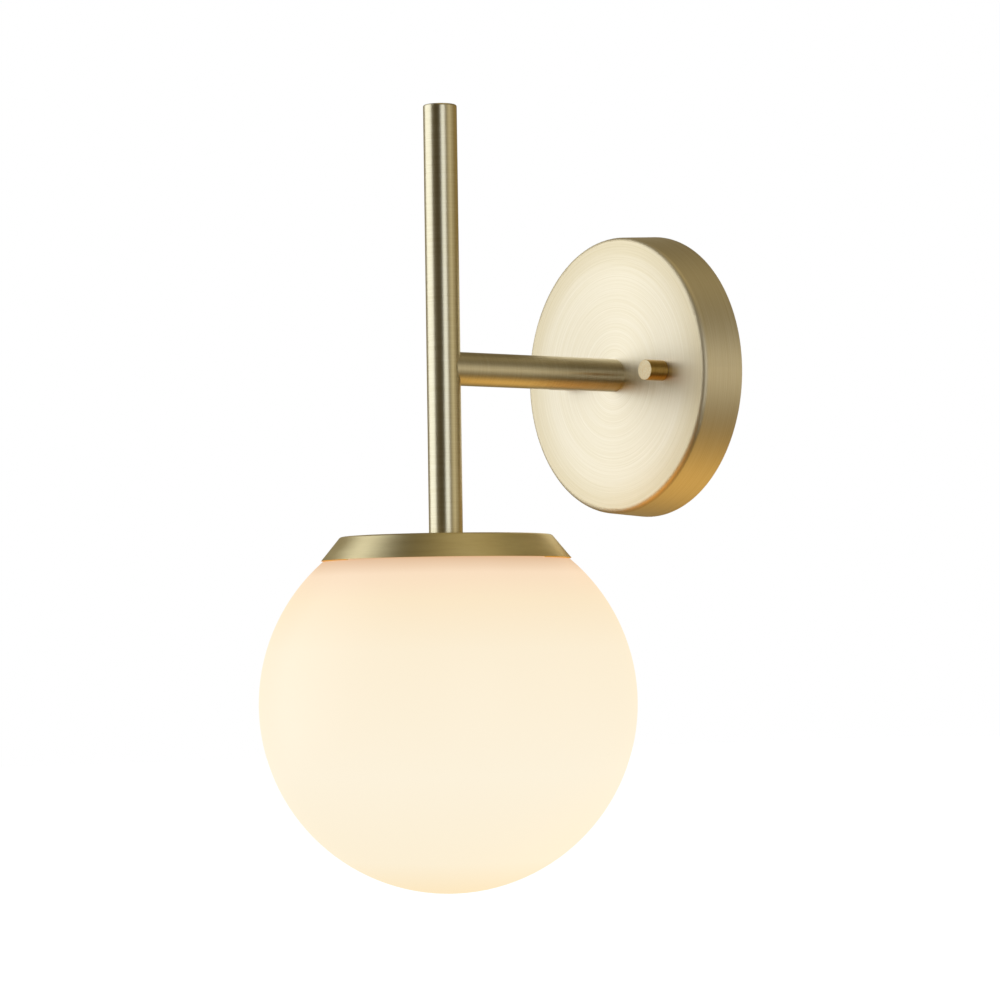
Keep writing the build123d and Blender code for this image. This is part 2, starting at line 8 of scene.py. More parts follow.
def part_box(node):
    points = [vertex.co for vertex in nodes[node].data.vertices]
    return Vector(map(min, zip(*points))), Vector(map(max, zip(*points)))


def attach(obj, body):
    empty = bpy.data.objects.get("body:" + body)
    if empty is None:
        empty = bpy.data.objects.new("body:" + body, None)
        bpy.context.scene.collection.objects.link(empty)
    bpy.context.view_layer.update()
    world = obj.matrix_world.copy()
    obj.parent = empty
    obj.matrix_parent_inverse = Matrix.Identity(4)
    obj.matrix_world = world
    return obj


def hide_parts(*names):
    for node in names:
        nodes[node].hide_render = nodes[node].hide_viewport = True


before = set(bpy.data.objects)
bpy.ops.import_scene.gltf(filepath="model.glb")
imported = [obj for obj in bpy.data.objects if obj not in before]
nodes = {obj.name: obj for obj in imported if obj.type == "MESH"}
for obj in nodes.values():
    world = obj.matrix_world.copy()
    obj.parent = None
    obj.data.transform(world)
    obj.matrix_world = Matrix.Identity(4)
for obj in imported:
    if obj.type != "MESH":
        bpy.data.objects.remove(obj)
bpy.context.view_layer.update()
scene = bpy.context.scene

MM = 0.001


# ---- Places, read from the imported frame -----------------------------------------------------

def middle(node):
    low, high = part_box(node)
    return (low + high) / 2


# Points on the two lines that the pieces lie round: one square to the wall, and one upright
wall_axis = (0, 0, 0)
stem_axis = middle("stem_tube")
globe_low, globe_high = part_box("glass_globe")
globe_r = (globe_high.x - globe_low.x) / 2
globe_centre = Vector((stem_axis.x, stem_axis.y, globe_low.z + globe_r))


# ---- Materials: helpers ---------------------------------------------------------------------

def linear(hex_colour):
    """An sRGB hex colour as the linear colour that a shader takes."""
    channels = [int(hex_colour[place:place + 2], 16) / 255 for place in (1, 3, 5)]
    return [c / 12.92 if c <= 0.04045 else ((c + 0.055) / 1.055) ** 2.4 for c in channels] + [1.0]


def per_mm(size):
    """The pattern scale, for coordinates in metres, at which one feature is this many mm."""
    return 1 / (size * MM)


def add(tree, kind, inputs=None, stops=(), **settings):
    """Adds a node to the tree. An input that is a socket is linked, anything else is set. The
    stops of a colour ramp are (place, hex colour)."""
    node = tree.nodes.new(kind)
    for name, value in settings.items():
        setattr(node, name, value)
    for key, value in (inputs or {}).items():
        if isinstance(value, bpy.types.NodeSocket):
            tree.links.new(value, node.inputs[key])
        else:
            node.inputs[key].default_value = value
    if stops:
        elements = node.color_ramp.elements
        while len(elements) < len(stops):
            elements.new(1.0)
        for element, (place, colour) in zip(elements, stops):
            element.position = place
            element.color = linear(colour)
    return node


def surface_of(material):
    """A material's node tree and its surface shader."""
    return material.node_tree, material.node_tree.nodes["Principled BSDF"]


def finish_of(name, **surface):
    """A new material, its tree and its shader, whose sockets are given by name."""
    material = bpy.data.materials.new(name)
    material.use_nodes = True
    tree, shader = surface_of(material)
    for socket, value in surface.items():
        shader.inputs[socket.replace("_", " ")].default_value = value
    return material, tree, shader


def mottle(tree, size_mm, detail=2.0, fineness=0.6):
    """Uneven patches of this size. Fineness is how strongly the smaller detail shows in them."""
    place = add(tree, "ShaderNodeTexCoord").outputs["Object"]
    return add(
        tree, "ShaderNodeTexNoise",
        {"Vector": place, "Scale": per_mm(size_mm), "Detail": detail, "Roughness": fineness},
    ).outputs["Fac"]


def work_surface(tree, shader, pattern, colours, roughness, depth_mm):
    """Lets one pattern move a surface's colour, roughness and height together."""
    smooth, rough = roughness
    colour = add(tree, "ShaderNodeValToRGB", {0: pattern}, stops=colours)
    gloss = add(tree, "ShaderNodeMapRange", {"Value": pattern, "To Min": smooth, "To Max": rough})
    bump = add(tree, "ShaderNodeBump", {"Height": pattern, "Strength": 1.0, "Distance": depth_mm * MM})
    for socket, node in (("Base Color", colour), ("Roughness", gloss), ("Normal", bump)):
        tree.links.new(node.outputs[0], shader.inputs[socket])


def mottled(name, size_mm, detail, colours, roughness, depth_mm, **surface):
    """A material whose colour, gloss and height vary together, in uneven patches of one size."""
    material, tree, shader = finish_of(name, **surface)
    work_surface(tree, shader, mottle(tree, size_mm, detail), colours, roughness, depth_mm)
    return material


def laid_so_far(shader, socket):
    """What a socket of the shader has now: the socket that is linked to it, or its own value."""
    entry = shader.inputs[socket]
    return entry.links[0].from_socket if entry.is_linked else entry.default_value


def lay_over(tree, shader, socket, mask, value, data_type="FLOAT", blend_type="MIX"):
    """Lays a value over what a socket of the shader has now, where the mask is 1."""
    mixed = add(
        tree, "ShaderNodeMix", {"Factor": mask, "A": laid_so_far(shader, socket), "B": value},
        data_type=data_type, blend_type=blend_type,
    )
    tree.links.new(mixed.outputs["Result"], shader.inputs[socket])


# ---- Brass ----------------------------------------------------------------------------------

# Pale satin brass under one lacquer: champagne rather than yellow
SATIN_BRASS = ((0.25, "#DCCFA3"), (0.75, "#ECE1BC"))
# The arm is the stem's brass painted a shade duller and less yellow: painted shade
ARM_SHADED_BRASS = ((0.25, "#D3C6A2"), (0.75, "#E2D8BB"))
# The canopy is the tubes' brass painted lighter: painted light, which brightens the whole canopy
CANOPY_LIT_BRASS = ((0.25, "#E9DAB1"), (0.75, "#FAEECE"))
# Painted shade laid over the canopy's rim, which makes it a little darker and more golden
CANOPY_RIM_SHADE = "#FBF8EE"
# The cap over the glass is a shade more yellow
CAP_BRASS = ((0.25, "#E0CD94"), (0.75, "#F3E3AC"))
# The thumb nuts are bare of the pale lacquer, so they are a deeper yellow
KNOB_BRASS = ((0.25, "#C09A50"), (0.75, "#D6B46C"))
# The tip's paler colour is painted light, which keeps the faced tip bright
KNOB_TIP_LIT_BRASS = ((0.30, "#F5DCA1"), (0.70, "#FFF1C8"))


def tool_lines(tree, axis, origin, line_mm, streak_mm):
    """Lines left by a pad or tool that runs round an axis: fine along the profile, long round it.

    The lines follow the distance from the axis and the place along it, so they are rings on a
    face and hoops on a wall."""
    place = add(tree, "ShaderNodeTexCoord").outputs["Object"]
    local = add(tree, "ShaderNodeVectorMath", {0: place, 1: origin}, operation="SUBTRACT").outputs[0]
    flat = [0.0 if letter == axis else 1.0 for letter in "XYZ"]
    across = add(tree, "ShaderNodeVectorMath", {0: local, 1: flat}, operation="MULTIPLY").outputs[0]
    radius = add(tree, "ShaderNodeVectorMath", {0: across}, operation="LENGTH").outputs["Value"]
    split = add(tree, "ShaderNodeSeparateXYZ", {0: local})
    others = [split.outputs[letter] for letter in "XYZ" if letter != axis]
    profile = add(tree, "ShaderNodeMath", {0: radius, 1: split.outputs[axis]}, operation="ADD").outputs[0]
    stretch = streak_mm / line_mm
    line = add(tree, "ShaderNodeMath", {0: profile, 1: stretch}, operation="MULTIPLY").outputs[0]
    space = add(tree, "ShaderNodeCombineXYZ", {"X": others[0], "Y": others[1], "Z": line})
    return add(
        tree, "ShaderNodeTexNoise",
        {"Vector": space.outputs[0], "Scale": per_mm(streak_mm), "Detail": 4.0, "Roughness": 0.62},
    ).outputs["Fac"]


def worked_round(name, axis, origin, colours, line_mm, streak_mm, roughness, depth_mm, grain=0.6):
    """Metal whose finish was worked round an axis, so that light stretches across the lines.

    Real lines lie about 0.1 mm apart. That is too fine to show in the render, so each is drawn
    as coarse as line_mm says."""
    material, tree, shader = finish_of(name, Metallic=1.0, Anisotropic=grain, Anisotropic_Rotation=0.25)
    lines = tool_lines(tree, axis, origin, line_mm, streak_mm)
    work_surface(tree, shader, lines, colours, roughness, depth_mm)
    tangent = add(tree, "ShaderNodeTangent", direction_type="RADIAL", axis=axis)
    tree.links.new(tangent.outputs[0], shader.inputs["Tangent"])
    return material


# The canopy's dull rim, with its painted shade, fades in between these distances in from the canopy's
# widest point
RIM_START = 18 * MM
RIM_FULL = 2 * MM
# It fades out between these distances behind the face, where the edge rounds into the wall
RIM_FRONT = 0.8 * MM
RIM_BACK = 3.0 * MM
RIM_DULLING = 0.05      # what the rim adds to the roughness


def spun_canopy_brass():
    """Spun on a lathe and then brushed with a pad: rings on the face, hoops on the wall. The pad
    cut deeper where it rolled over the front edge, so the rim is duller. Its colour there is
    painted shade, a little darker and more golden."""
    material = worked_round(
        "spun_brass_canopy", "Y", wall_axis, CANOPY_LIT_BRASS,
        line_mm=0.5, streak_mm=45, roughness=(0.40, 0.50), depth_mm=0.014, grain=0.33,
    )
    tree, shader = surface_of(material)
    low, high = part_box("canopy")
    place = add(tree, "ShaderNodeTexCoord").outputs["Object"]
    flat = add(tree, "ShaderNodeVectorMath", {0: place, 1: (1, 0, 1)}, operation="MULTIPLY").outputs[0]
    radius = add(tree, "ShaderNodeVectorMath", {0: flat}, operation="LENGTH").outputs["Value"]
    depth = add(tree, "ShaderNodeSeparateXYZ", {0: place}).outputs["Y"]
    outer = add(tree, "ShaderNodeMapRange", {
        "Value": radius, "From Min": high.x - RIM_START, "From Max": high.x - RIM_FULL,
    }, interpolation_type="SMOOTHSTEP").outputs["Result"]
    front = add(tree, "ShaderNodeMapRange", {
        "Value": depth, "From Min": low.y + RIM_BACK, "From Max": low.y + RIM_FRONT,
    }, interpolation_type="SMOOTHSTEP").outputs["Result"]
    rim = add(tree, "ShaderNodeMath", {0: outer, 1: front}, operation="MULTIPLY").outputs[0]
    # Painted shade: the rim is made a little darker and more golden
    lay_over(tree, shader, "Base Color", rim, linear(CANOPY_RIM_SHADE), "RGBA", "MULTIPLY")
    dulled = add(tree, "ShaderNodeMath", {
        0: rim, 1: RIM_DULLING, 2: laid_so_far(shader, "Roughness"),
    }, operation="MULTIPLY_ADD").outputs[0]
    tree.links.new(dulled, shader.inputs["Roughness"])
    return material


def spun_cap_brass():
    """Spun about the upright axis: level hoops, and one soft highlight that runs down the flare."""
    return worked_round(
        "spun_brass_cap", "Z", stem_axis, CAP_BRASS,
        line_mm=0.5, streak_mm=30, roughness=(0.36, 0.46), depth_mm=0.020,
    )


def brushed_stem_brass():
    """Tube brushed round its girth with fine abrasive: soft bands of light along it."""
    return worked_round(
        "brushed_brass_stem", "Z", stem_axis, SATIN_BRASS,
        line_mm=0.45, streak_mm=12, roughness=(0.27, 0.37), depth_mm=0.0055, grain=0.4,
    )


def brushed_arm_brass():
    """The stem's tube, brushed a little finer: one narrow band of light between darker flanks."""
    # Its colours carry painted shade: the stem's brass, a shade duller and less yellow
    return worked_round(
        "brushed_brass_arm", "Y", wall_axis, ARM_SHADED_BRASS,
        line_mm=0.45, streak_mm=12, roughness=(0.25, 0.35), depth_mm=0.0045, grain=0.45,
    )


def brushed_plug_brass():
    """Plug brushed flush with the stem's rim: small rings and a clearer gloss."""
    return worked_round(
        "brushed_brass_plug", "Z", stem_axis, SATIN_BRASS,
        line_mm=0.4, streak_mm=9, roughness=(0.23, 0.33), depth_mm=0.003,
    )


KNOB_TIP_SKIN = 0.1 * MM        # how far behind the tip's face its matt finish reaches
KNOB_TIP_ROUGHNESS = 0.60
KNOB_TIP_METALLIC = 0.20        # most of the light is scattered, not mirrored


def turned_knob_brass(knob):
    """Turned brass: deep yellow and softly glossy round the side. The faced tip is so matt that it
    scatters most of the light, and its paler colour is painted light that keeps it bright. Its real
    marks are about 0.1 mm, drawn at 0.8 mm."""
    material = worked_round(
        "turned_brass_" + knob, "Y", middle(knob), KNOB_BRASS,
        line_mm=0.45, streak_mm=6, roughness=(0.25, 0.35), depth_mm=0.006, grain=0.2,
    )
    tree, shader = surface_of(material)
    place = add(tree, "ShaderNodeTexCoord").outputs["Object"]
    depth = add(tree, "ShaderNodeSeparateXYZ", {0: place}).outputs["Y"]
    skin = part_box(knob)[0].y + KNOB_TIP_SKIN
    on_tip = add(tree, "ShaderNodeMath", {0: depth, 1: skin}, operation="LESS_THAN").outputs[0]
    marks = add(tree, "ShaderNodeValToRGB", {0: mottle(tree, 0.8, detail=3.0)}, stops=KNOB_TIP_LIT_BRASS)
    # Painted light: the tip is painted paler, so that it shows bright
    lay_over(tree, shader, "Base Color", on_tip, marks.outputs["Color"], "RGBA")
    lay_over(tree, shader, "Roughness", on_tip, KNOB_TIP_ROUGHNESS)
    lay_over(tree, shader, "Metallic", on_tip, KNOB_TIP_METALLIC)
    return material


# ---- Other metals ---------------------------------------------------------------------------

def zinc_plated_steel():
    """Bright zinc over pressed or rolled steel: cool grey with dull, faintly yellow patches."""
    return mottled(
        "zinc_plated_steel", size_mm=3.5, detail=6.0, roughness=(0.28, 0.46), depth_mm=0.02,
        colours=((0.36, "#A6A9AC"), (0.52, "#BDBEBC"), (0.66, "#CBC7BA")), Metallic=1.0,
    )


def rolled_nickel_brass(name):
    """Thin nickel-plated brass rolled to a screw: silvery with a warm cast and fine level lines."""
    return worked_round(
        name, "Z", stem_axis, ((0.36, "#BFB9AC"), (0.64, "#DAD5CA")),
        line_mm=0.5, streak_mm=20, roughness=(0.20, 0.32), depth_mm=0.006, grain=0.4,
    )


def punched_contact_brass():
    """Bare punched brass sheet, lightly tarnished: yellow with browner patches."""
    return mottled(
        "punched_contact_brass", size_mm=2.0, detail=5.0, roughness=(0.22, 0.40), depth_mm=0.01,
        colours=((0.35, "#B98F45"), (0.65, "#DDBB6E")), Metallic=1.0,
    )


def tinned_brass():
    """Hot-tinned brass tags: soft silver with a slow swell in the tin."""
    return mottled(
        "tinned_brass", size_mm=2.5, detail=3.0, roughness=(0.24, 0.38), depth_mm=0.03,
        colours=((0.35, "#B8B6AE"), (0.65, "#D6D4CC")), Metallic=1.0,
    )


def green_passivated_steel():
    """The green dye over zinc that marks an earth screw: thin colour that lets the metal gleam."""
    return mottled(
        "green_passivated_steel", size_mm=1.6, detail=5.0, roughness=(0.28, 0.45), depth_mm=0.01,
        colours=((0.35, "#1F6B39"), (0.65, "#3E9A5A")), Metallic=0.9,
    )


# ---- Opal glass -----------------------------------------------------------------------------

# The glow up the glass, from its foot at 0 to the top of its neck at 1. It is fullest round the
# bulb and dims towards the shoulder, which the cap shades.
GLASS_GLOW = (
    (0.00, "#FAE5BE"), (0.10, "#FCEFD4"), (0.35, "#FCF1DA"), (0.70, "#FBEDD2"),
    (0.84, "#FAE6C5"), (0.915, "#F8DDBE"), (0.95, "#E3C09D"), (0.98, "#CDA582"),
)
GLOW_STRENGTH = 0.96
GLOW_DRIFT = 0.006          # how far the glow wanders up and down, as a share of the height
LAMPLIGHT = "#FFB659"       # the warmer light that the glass throws onto the brass
UNLIT_OPAL = "#4C473F"      # kept dark, so that the studio adds little to the glow


def opal_glass():
    """Blown opal glass, acid etched outside, lit from inside: an even warm glow with a soft skin.

    The etched grit is really under 0.1 mm. It is drawn at 0.5 mm, so that it shows."""
    material, tree, shader = finish_of(
        "etched_opal_glass", Roughness=0.42, IOR=1.5, Specular_IOR_Level=0.18,
        Base_Color=linear(UNLIT_OPAL), Emission_Strength=GLOW_STRENGTH,
    )
    place = add(tree, "ShaderNodeTexCoord").outputs["Object"]
    height = add(tree, "ShaderNodeSeparateXYZ", {0: place}).outputs["Z"]
    rise = add(tree, "ShaderNodeMapRange", {
        "Value": height, "From Min": globe_low.z, "From Max": globe_high.z,
    }).outputs["Result"]
    drift = add(tree, "ShaderNodeMapRange", {
        "Value": mottle(tree, 45, fineness=0.5), "To Min": -GLOW_DRIFT, "To Max": GLOW_DRIFT,
    }).outputs["Result"]
    rise = add(tree, "ShaderNodeMath", {0: rise, 1: drift}, operation="ADD").outputs[0]
    glow = add(tree, "ShaderNodeValToRGB", {0: rise}, stops=GLASS_GLOW).outputs["Color"]
    seen = add(tree, "ShaderNodeLightPath").outputs["Is Camera Ray"]
    light = add(tree, "ShaderNodeMix", {
        "Factor": seen, "A": linear(LAMPLIGHT), "B": glow,
    }, data_type="RGBA")
    tree.links.new(light.outputs["Result"], shader.inputs["Emission Color"])
    grit = mottle(tree, 0.5, fineness=0.5)
    bump = add(tree, "ShaderNodeBump", {"Height": grit, "Strength": 0.25, "Distance": 0.02 * MM})
    tree.links.new(bump.outputs[0], shader.inputs["Normal"])
    return material


# ---- Plastics, rubber and board -------------------------------------------------------------

# The grain of these surfaces is 0.05 to 0.2 mm on the real pieces, too fine to show. It is drawn
# at 0.5 to 1.5 mm.

def moulded_silicone():
    """Moulded silicone ring: milky and matt, with a faint dusty grain."""
    return mottled(
        "moulded_silicone", size_mm=0.8, detail=4.0, roughness=(0.50, 0.62), depth_mm=0.02,
        colours=((0.35, "#D2CFC4"), (0.65, "#E2E0D7")),
        IOR=1.41, Subsurface_Weight=0.2, Subsurface_Scale=1.5 * MM,
    )


def moulded_phenolic():
    """Pressed phenolic: near-black brown with fine filler specks and a hard gloss."""
    return mottled(
        "moulded_phenolic", size_mm=0.5, detail=3.0, roughness=(0.22, 0.38), depth_mm=0.012,
        colours=((0.40, "#161210"), (0.62, "#241D19"), (0.72, "#3A3029")), IOR=1.62,
    )


def moulded_plastic(name, dark, light):
    """Injection-moulded thermoplastic: even colour with the slight ripple of the mould's skin."""
    return mottled(
        name, size_mm=1.2, detail=3.0, roughness=(0.28, 0.34), depth_mm=0.004,
        colours=((0.35, dark), (0.65, light)), IOR=1.50,
    )


def extruded_insulation(name, dark, light):
    """Extruded PVC sleeve of a lead: semi-gloss, with a slow ripple from the die."""
    return mottled(
        name, size_mm=1.5, detail=3.0, roughness=(0.36, 0.50), depth_mm=0.02,
        colours=((0.35, dark), (0.65, light)), IOR=1.53,
    )


def frosted_polycarbonate():
    """Frosted diffuser of the bulb, lit: warm white with a fine satin grain."""
    return mottled(
        "frosted_polycarbonate", size_mm=0.6, detail=3.0, roughness=(0.46, 0.58), depth_mm=0.01,
        colours=((0.35, "#C9C3B5"), (0.65, "#D8D2C5")),
        IOR=1.58, Emission_Color=linear("#FFE3B4"), Emission_Strength=0.55,
    )


CHIP_FACE = 0.3 * MM        # how far up from the chips' faces their phosphor reaches


def printed_solder_mask():
    """White solder mask printed on the bulb's board: satin white with a fine grain, and yellow
    where the chips show their phosphor."""
    material, tree, shader = finish_of("printed_solder_mask", IOR=1.52)
    grain = mottle(tree, 0.7, detail=4.0)
    work_surface(
        tree, shader, grain, roughness=(0.30, 0.45), depth_mm=0.01,
        colours=((0.35, "#DEDFDA"), (0.65, "#EDEEEA")),
    )
    place = add(tree, "ShaderNodeTexCoord").outputs["Object"]
    height = add(tree, "ShaderNodeSeparateXYZ", {0: place}).outputs["Z"]
    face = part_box("led_board")[0].z + CHIP_FACE
    on_chip = add(tree, "ShaderNodeMath", {0: height, 1: face}, operation="LESS_THAN").outputs[0]
    phosphor = add(tree, "ShaderNodeValToRGB", {0: grain}, stops=((0.35, "#D9B63E"), (0.65, "#EACB5A")))
    lay_over(tree, shader, "Base Color", on_chip, phosphor.outputs["Color"], "RGBA")
    return material


# ---- Screw threads --------------------------------------------------------------------------

TURN_STEPS = 48         # points round one turn of a thread
PITCH_STEPS = 8         # rows of points along one pitch
THREAD_DEPTH = 0.6      # depth of a thread, as a share of its pitch
ROOT_SHARE = 0.20       # share of the pitch that is the flat root
FLANK_SHARE = 0.65      # share that is the two flanks, and the rest is the flat crest
SHARP_ANGLE = radians(50)   # an edge that turns more than this stays crisp

NIPPLE_PITCH = 1.0 * MM
NIPPLE_BORE_R = 3.4 * MM
STUD_PITCH = 0.7 * MM


def crest_share(phase):
    """How far a 60 degree thread stands out at this phase: 1 on the flat crest, 0 in the root."""
    rise = 2 * abs(phase % 1.0 - 0.5)
    return min(max((rise - ROOT_SHARE) / FLANK_SHARE, 0.0), 1.0)


def rolled_thread(mesh, place, low, high, crest_r, pitch, bore_r=0.0):
    """Adds a rod with a rolled thread between two heights, bevelled at both ends.

    Place turns (x, y, height) into a point of the frame. With a bore the rod is a nipple."""
    depth = THREAD_DEPTH * pitch
    rows = round((high - low) / pitch * PITCH_STEPS)
    loops = []
    for row in range(rows + 1):
        height = low + (high - low) * row / rows
        bevel = crest_r - max(depth - (height - low), depth - (high - height), 0.0)
        radii = [
            min(crest_r - depth * (1 - crest_share(height / pitch - step / TURN_STEPS)), bevel)
            for step in range(TURN_STEPS)
        ]
        loops.append((height, radii))
    if bore_r:
        bore = [bore_r] * TURN_STEPS
        loops = [(low, bore)] + loops + [(high, bore)]
    rings = []
    for height, radii in loops:
        ring = []
        for step, r in enumerate(radii):
            a = 2 * pi * step / TURN_STEPS
            ring.append(mesh.verts.new(place(r * cos(a), r * sin(a), height)))
        rings.append(ring)
    pairs = list(zip(rings, rings[1:]))
    if bore_r:
        pairs.append((rings[-1], rings[0]))
    else:
        mesh.faces.new(rings[0])
        mesh.faces.new(rings[-1])
    for lower, upper in pairs:
        for step in range(TURN_STEPS):
            after = (step + 1) % TURN_STEPS
            mesh.faces.new((lower[step], lower[after], upper[after], upper[step]))


def stud_rods(mesh):
    low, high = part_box("canopy_studs")
    r = (high.z - low.z) / 2
    for x in (low.x + r, high.x - r):
        rolled_thread(mesh, lambda a, b, h, x=x: (x + a, h, b), low.y, high.y, r, STUD_PITCH)


def arm_nipple_rod(mesh):
    low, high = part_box("arm_nipple")
    r = (high.z - low.z) / 2
    rolled_thread(mesh, lambda a, b, h: (a, h, b), low.y, high.y, r, NIPPLE_PITCH, NIPPLE_BORE_R)


def stem_nipple_rod(mesh):
    low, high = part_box("stem_nipple")
    r = (high.x - low.x) / 2

    def place(a, b, h):
        return stem_axis.x + a, stem_axis.y + b, h

    rolled_thread(mesh, place, low.z, high.z, r, NIPPLE_PITCH, NIPPLE_BORE_R)


def threaded_piece(node, material, add_rods):
    """A piece with real threads that stands for a CAD node of plain rods."""
    mesh = bmesh.new()
    add_rods(mesh)
    bmesh.ops.recalc_face_normals(mesh, faces=mesh.faces)
    data = bpy.data.meshes.new(node + "_threaded")
    mesh.to_mesh(data)
    mesh.free()
    data.shade_smooth()
    data.set_sharp_from_angle(angle=SHARP_ANGLE)
    data.materials.append(material)
    piece = bpy.data.objects.new(node + "_threaded", data)
    scene.collection.objects.link(piece)
    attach(piece, "wall_fixture")
    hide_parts(node)


# ---- Finishes on the pieces -----------------------------------------------------------------

def dress(material, *names):
    """Gives these CAD nodes one material, in place of the ones that they came with."""
    for name in names:
        slots = nodes[name].data.materials
        slots.clear()
        slots.append(material)


dress(spun_canopy_brass(), "canopy")
dress(spun_cap_brass(), "holder_cap")
dress(brushed_stem_brass(), "stem_tube")
dress(brushed_plug_brass(), "stem_top_plug")
dress(brushed_arm_brass(), "arm_tube")
for knob in ("knob_left", "knob_right"):
    dress(turned_knob_brass(knob), knob)
dress(opal_glass(), "glass_globe")

zinc = zinc_plated_steel()
dress(
    zinc, "wall_strap", "stud_nuts", "arm_lock_washer", "arm_nut", "glass_gallery",
    "holder_lock_washer", "holder_nut", "terminal_screws",
)
threaded_piece("canopy_studs", zinc, stud_rods)
threaded_piece("arm_nipple", zinc, arm_nipple_rod)
threaded_piece("stem_nipple", zinc, stem_nipple_rod)

dress(tinned_brass(), "earth_tags")
dress(green_passivated_steel(), "earth_screw")
dress(punched_contact_brass(), "centre_contact", "lead_terminals", "bulb_contact")
dress(rolled_nickel_brass("rolled_nickel_screw_shell"), "screw_shell")
dress(rolled_nickel_brass("rolled_nickel_bulb_base"), "bulb_screw_base")
dress(
    moulded_phenolic(), "lampholder_cap", "lampholder_insulator", "lampholder_skirt",
    "bulb_insulator",
)
dress(moulded_silicone(), "glass_gasket")
dress(frosted_polycarbonate(), "bulb_ball")
dress(moulded_plastic("moulded_white_collar", "#E6E5DF", "#F1F0EC"), "bulb_collar")
dress(moulded_plastic("moulded_ivory_connector", "#DFD8C6", "#ECE6D7"), "wire_connectors")
dress(printed_solder_mask(), "led_board")
dress(extruded_insulation("black_pvc_insulation", "#141414", "#222221"), "live_lead")
dress(extruded_insulation("white_pvc_insulation", "#DAD9D4", "#EAE9E5"), "neutral_lead")
dress(extruded_insulation("green_pvc_insulation", "#136434", "#1F7F45"), "earth_lead")


# ---- Camera ---------------------------------------------------------------------------------

# The photograph's viewpoint, from a fit to the outlines of the canopy, arm, stem, cap and globe.
# The azimuth is measured from the wall's own axis, and the camera stands a little low.
azimuth = radians(51.923)
elevation = radians(-2.316)
roll = radians(0.85)
distance = 1533.09 * MM
# Where the camera aims, from the point on the stem's axis that is level with the arm
aim_right = 21.649 * MM
aim_up = -52.719 * MM
sensor_width = 36.0
photo_size = 1000
focal_pixels = 3855.7

toward_camera = Vector((sin(azimuth) * cos(elevation), -cos(azimuth) * cos(elevation), sin(elevation)))
image_right = Vector((cos(azimuth), sin(azimuth), 0))
image_up = toward_camera.cross(image_right)


def add_camera():
    data = bpy.data.cameras.new("camera")
    data.sensor_width = sensor_width
    data.lens = focal_pixels / photo_size * sensor_width
    camera = bpy.data.objects.new("camera", data)
    scene.collection.objects.link(camera)
    right = cos(roll) * image_right - sin(roll) * image_up
    up = sin(roll) * image_right + cos(roll) * image_up
    level_with_arm = Vector((stem_axis.x, stem_axis.y, 0))
    aim = level_with_arm + aim_right * image_right + aim_up * image_up
    turn = Matrix((right, up, toward_camera)).transposed().to_4x4()
    camera.matrix_world = Matrix.Translation(aim + distance * toward_camera) @ turn
    scene.camera = camera


add_camera()


# ---- Studio ---------------------------------------------------------------------------------

STUDIO_FILL = "#C4C4C4"     # soft light from all round
FLOOR_Z = -0.34             # well below the glass, as the light hangs on a wall
FLOOR_SIZE = 12.0
FLOOR_LIFT = 0.62           # glow that brings the lit floor up to the white background
ROOM_RADIUS = 6.0

level_camera = Vector((toward_camera.x, toward_camera.y, 0)).normalized()
fitting_centre = globe_centre / 2       # half way between the globe and the canopy


def from_camera(degrees_right, rise):
    """The direction this far to the right of the camera and above level, from the light fitting."""
    a = radians(degrees_right)
    e = radians(rise)
    level = cos(a) * level_camera + sin(a) * image_right
    return Vector((cos(e) * level.x, cos(e) * level.y, sin(e)))


def softbox(name, degrees_right, rise, range_m, width, height, brightness, colour):
    """A soft panel that faces the light fitting. Brightness 1 shows as white in a mirror."""
    data = bpy.data.lights.new(name, "AREA")
    data.shape = "RECTANGLE"
    data.size = width
    data.size_y = height
    data.energy = brightness * pi * width * height
    data.color = linear(colour)[:3]
    lamp = bpy.data.objects.new(name, data)
    scene.collection.objects.link(lamp)
    aim = from_camera(degrees_right, rise)
    lamp.location = fitting_centre + range_m * aim
    lamp.rotation_mode = "QUATERNION"
    lamp.rotation_quaternion = aim.to_track_quat("Z", "Y")
    lamp.visible_camera = False


# The left panel lights the canopy's face, and the right one draws the bright line down the stem
softbox(
    "softbox_left", -93, 16, range_m=1.7, width=1.9, height=2.3, brightness=1.68, colour="#DFE7FC",
)
softbox(
    "softbox_right", 17.3, 0, range_m=1.9, width=0.95, height=1.8, brightness=1.68, colour="#DDE6FF",
)


def white_to(tree):
    """1 for a ray from the camera, off metal or through glass: these show the white background."""
    ray = add(tree, "ShaderNodeLightPath").outputs
    white = ray["Is Camera Ray"]
    for kind in ("Is Glossy Ray", "Is Transmission Ray"):
        white = add(tree, "ShaderNodeMath", {0: white, 1: ray[kind]}, operation="MAXIMUM").outputs[0]
    return white


def studio_world():
    """White to the camera, to metal and through glass. A soft grey fill lights everything else."""
    world = bpy.data.worlds.new("studio")
    scene.world = world
    world.use_nodes = True
    tree = world.node_tree
    tree.nodes.clear()
    colour = add(tree, "ShaderNodeMix", {
        "Factor": white_to(tree), "A": linear(STUDIO_FILL), "B": (1, 1, 1, 1),
    }, data_type="RGBA").outputs["Result"]
    background = add(tree, "ShaderNodeBackground", {"Color": colour, "Strength": 1.0})
    add(tree, "ShaderNodeOutputWorld", {"Surface": background.outputs[0]})


# What stands in the room round the softboxes, mirrored softly in the brass. Each patch is its
# direction in degrees right of the camera, its rise, how tight it is and its colour.
ROOM_PATCHES = (
    (68, 1, 14, "#CFC8B7"),     # lit wall, at its brightest
    (70, 5, 3, "#5F5C52"),      # and further round
    (-56, 4, 24, "#504C42"),    # spill beside the left softbox
    (124, 3, 6, "#6C5A32"),     # warm corner where the wall turns away
    (165, 5, 3, "#57492A"),     # room behind the light fitting, right
    (-155, 5, 3, "#797567"),    # and left
    (55, 74, 8, "#BFB393"),     # ceiling
    (130, -52, 7, "#F0C474"),   # lamplight on what lies behind and below
)
ROOM_SHADE = "#463F2F"


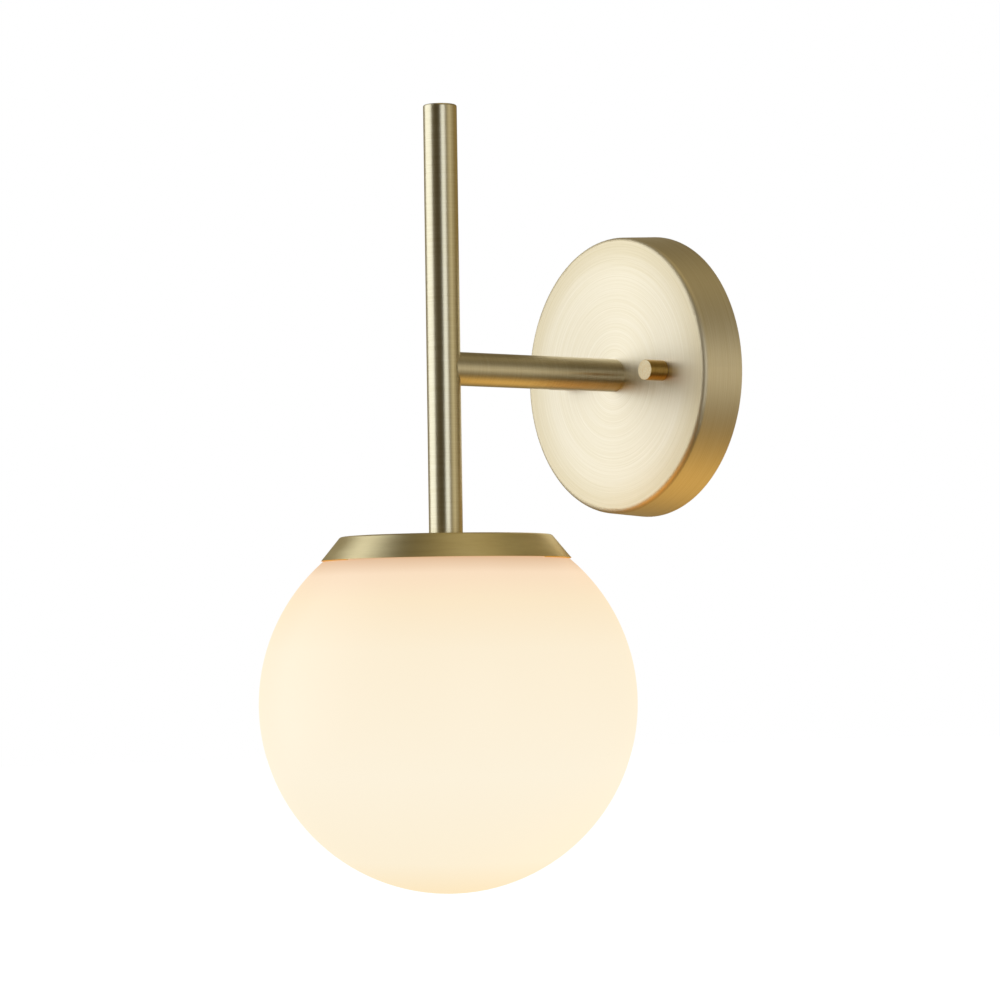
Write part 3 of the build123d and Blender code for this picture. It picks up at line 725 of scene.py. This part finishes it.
def studio_room():
    """The dim, warm walls of the studio, beyond the lamps. They show only in reflections."""
    mesh = bmesh.new()
    bmesh.ops.create_icosphere(mesh, subdivisions=5, radius=ROOM_RADIUS)
    data = bpy.data.meshes.new("studio_room")
    mesh.to_mesh(data)
    mesh.free()
    data.shade_smooth()
    room = bpy.data.objects.new("studio_room", data)
    scene.collection.objects.link(room)
    for ray in ("camera", "diffuse", "transmission", "volume_scatter", "shadow"):
        setattr(room, "visible_" + ray, False)
    material = bpy.data.materials.new("dim_painted_walls")
    material.use_nodes = True
    tree = material.node_tree
    tree.nodes.clear()
    place = add(tree, "ShaderNodeTexCoord").outputs["Object"]
    way = add(tree, "ShaderNodeVectorMath", {0: place}, operation="NORMALIZE").outputs[0]
    colour = linear(ROOM_SHADE)
    for degrees_right, rise, tightness, patch in ROOM_PATCHES:
        centre = from_camera(degrees_right, rise)
        near = add(tree, "ShaderNodeVectorMath", {0: way, 1: centre}, operation="DOT_PRODUCT")
        near = add(tree, "ShaderNodeMath", {0: near.outputs["Value"], 1: 0.0}, operation="MAXIMUM")
        near = add(tree, "ShaderNodeMath", {0: near.outputs[0], 1: tightness}, operation="POWER")
        colour = add(
            tree, "ShaderNodeMix", {"Factor": near.outputs[0], "A": colour, "B": linear(patch)},
            data_type="RGBA", blend_type="ADD",
        ).outputs["Result"]
    glow = add(tree, "ShaderNodeEmission", {"Color": colour, "Strength": 1.0})
    add(tree, "ShaderNodeOutputMaterial", {"Surface": glow.outputs[0]})
    material.cycles.emission_sampling = "NONE"
    data.materials.append(material)


def studio_floor():
    """Plain pale floor. It shows white to the camera and keeps the light fitting's shadow."""
    bpy.ops.mesh.primitive_plane_add(size=FLOOR_SIZE, location=(0, 0, FLOOR_Z))
    floor = bpy.context.object
    floor.name = "studio_floor"
    material, tree, shader = finish_of(
        "matt_painted_floor", Roughness=0.9, Specular_IOR_Level=0.1, Base_Color=linear("#E6E6E6"),
        Emission_Color=(1, 1, 1, 1),
    )
    lift = add(tree, "ShaderNodeMath", {0: white_to(tree), 1: FLOOR_LIFT}, operation="MULTIPLY")
    tree.links.new(lift.outputs[0], shader.inputs["Emission Strength"])
    # From below the floor is clear, so that it never hides the underside of the glass
    below = add(tree, "ShaderNodeNewGeometry").outputs["Backfacing"]
    clear = add(tree, "ShaderNodeBsdfTransparent")
    surface = add(tree, "ShaderNodeMixShader", {0: below, 1: shader.outputs[0], 2: clear.outputs[0]})
    tree.links.new(surface.outputs[0], tree.nodes["Material Output"].inputs["Surface"])
    floor.data.materials.append(material)
    floor.visible_glossy = False


studio_world()
studio_room()
studio_floor()
scene.view_settings.view_transform = "Standard"
